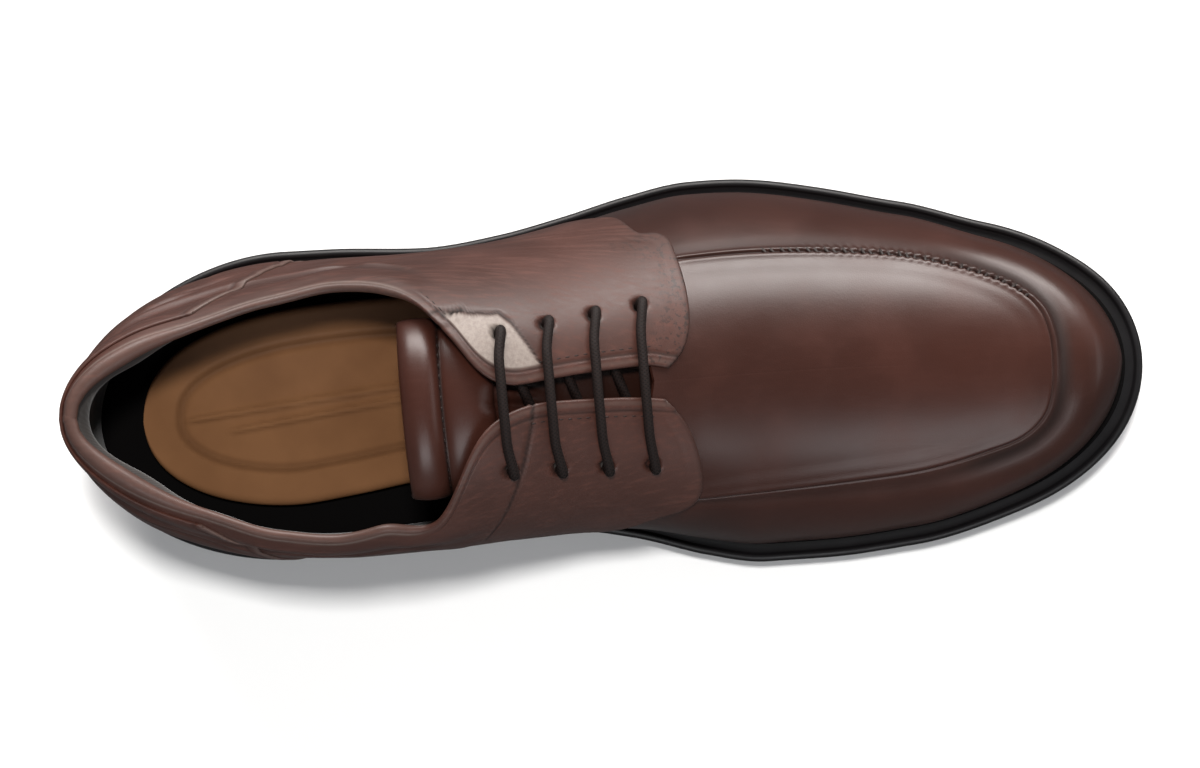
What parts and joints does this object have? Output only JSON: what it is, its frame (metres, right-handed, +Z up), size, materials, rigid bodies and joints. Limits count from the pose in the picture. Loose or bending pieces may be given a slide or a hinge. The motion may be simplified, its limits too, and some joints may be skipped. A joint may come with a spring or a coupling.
{
  "type": "dress shoe",
  "caption": "Man's plain lace-up dress shoe for the left foot, hollow brown leather upper with an apron seam and open lacing over a padded tongue, on a black rubber sole with a low heel",
  "frame": {"origin": "middle of the floor area that the shoe covers, on the floor", "axes": "+Y from heel to toe, +X to the inner side of the foot, +Z up"},
  "size_m": [0.1098, 0.3, 0.0955],
  "materials": {
    "heel": "black rubber, satin",
    "outsole": "black rubber, satin",
    "midsole": "black rubber welt, satin",
    "upper": "smooth brown leather, polished",
    "tongue": "padded brown leather, satin",
    "insole": "tan leather, matte",
    "lace": "round dark brown cord"
  },
  "bodies": {
    "root": {"heel": "heel", "outsole": "outsole", "midsole": "midsole", "upper": "upper", "tongue": "tongue", "insole": "insole", "lace": "lace"}
  },
  "joints": []
}
